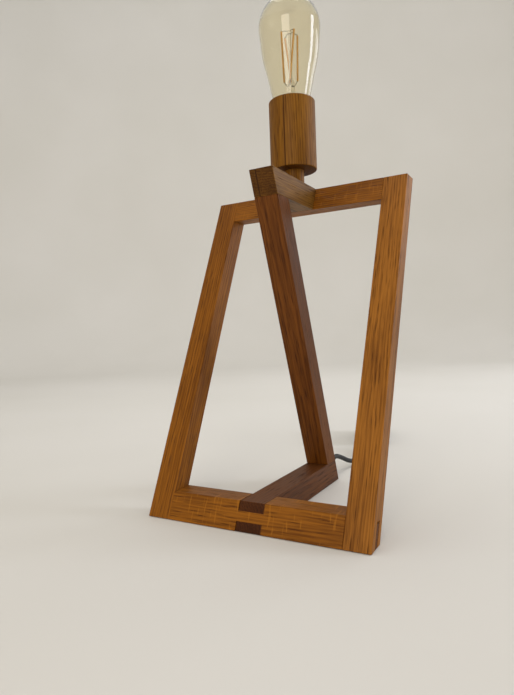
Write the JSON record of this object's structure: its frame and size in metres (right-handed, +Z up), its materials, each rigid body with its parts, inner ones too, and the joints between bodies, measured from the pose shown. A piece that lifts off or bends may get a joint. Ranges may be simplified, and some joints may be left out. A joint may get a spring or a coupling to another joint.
{
  "type": "table lamp",
  "caption": "Wooden table lamp: a leaning open frame crossed by a leaning leg, whose arm carries an upright turned holder with a screw-in filament bulb.",
  "frame": {"origin": "on the surface the lamp stands on, under the middle of its oak frame", "axes": "+X to the right along the front rail, +Y to the back, +Z up"},
  "size_m": [0.2206, 0.4944, 0.5195],
  "materials": {
    "oak_frame": "oiled oak, golden brown",
    "oak_base": "oiled oak, dark brown",
    "oak_centre": "oiled oak, deep brown",
    "oak_arm": "oiled oak, pale straw",
    "oak_cover": "turned oiled oak",
    "beech_dowel": "raw beech",
    "zinc_steel": "zinc plated steel",
    "black_phenolic": "moulded phenolic",
    "porcelain": "glazed porcelain",
    "brass": "rolled brass",
    "brown_pvc": "PVC core insulation",
    "blue_pvc": "PVC core insulation",
    "nickel_brass": "nickel plated brass",
    "black_glass": "black vitrite glass",
    "solder": "solder",
    "amber_glass": "thin amber tinted glass",
    "clear_glass": "clear glass",
    "led_phosphor": "silicone with yellow phosphor",
    "nickel_wire": "nickel wire",
    "green_board": "glass fibre board",
    "black_pvc": "PVC sheath, satin",
    "black_rubber": "soft moulded rubber",
    "black_plastic": "moulded plastic, fine texture"
  },
  "bodies": {
    "root": {"left_leg": "oak_frame", "right_leg": "oak_frame", "front_rail": "oak_frame", "top_rail": "oak_frame", "base_rail": "oak_base", "centre_leg": "oak_centre", "centre_leg_strip": "oak_centre", "top_arm": "oak_arm", "top_arm_strip": "oak_arm", "holder_neck": "oak_cover", "holder_cover": "oak_cover", "foot_dowels": "beech_dowel", "head_dowels": "beech_dowel", "arm_dowels": "beech_dowel", "threaded_nipple": "zinc_steel", "lock_washer": "zinc_steel", "lock_nut": "zinc_steel", "holder_cup": "black_phenolic", "holder_sleeve": "black_phenolic", "contact_block": "porcelain", "threaded_shell": "brass", "centre_contact": "brass", "side_contact": "brass", "terminal_screws": "brass", "live_core": "brown_pvc", "neutral_core": "blue_pvc", "cord_inside": "black_pvc", "cord_to_switch": "black_pvc", "cord_to_hank": "black_pvc", "cord_to_plug": "black_pvc", "cord_hank": "black_pvc", "strain_relief": "black_rubber", "hank_tie": "black_rubber", "switch_base": "black_plastic", "switch_cover": "black_plastic", "rocker_pin": "zinc_steel", "switch_terminals": "brass", "cord_clamps": "black_plastic", "case_screws": "zinc_steel", "plug_body": "black_plastic", "plug_relief": "black_plastic", "plug_pins": "nickel_brass", "pin_sleeves": "black_plastic"},
    "bulb_lift": {"cap_button": "solder"},
    "bulb": {"bulb_cap": "nickel_brass", "cap_insulator": "black_glass", "bulb_glass": "amber_glass", "glass_stem": "clear_glass", "led_filaments": "led_phosphor", "filament_wires": "nickel_wire", "driver_board": "green_board"},
    "rocker": {"switch_rocker": "black_plastic"}
  },
  "joints": [
    {"name": "bulb_rise", "type": "slide", "parent": "root", "child": "bulb_lift", "axis": [0, 0, 1], "range_m": [0, 0.01452]},
    {"name": "bulb_turn", "type": "hinge", "parent": "bulb_lift", "child": "bulb", "pos_m": [0, 0.0263, 0.39], "axis": [0, 0, 1], "range_deg": [0, 1440]},
    {"name": "rocker_tilt", "type": "hinge", "parent": "root", "child": "rocker", "pos_m": [0.00696, 0.23286, 0.012], "axis": [-0.9608, -0.2773, 0], "range_deg": [0, 18]}
  ],
  "couplings": [
    {"joint": "bulb_rise", "follows": "bulb_turn", "m_per_rad": 0.00057757}
  ]
}
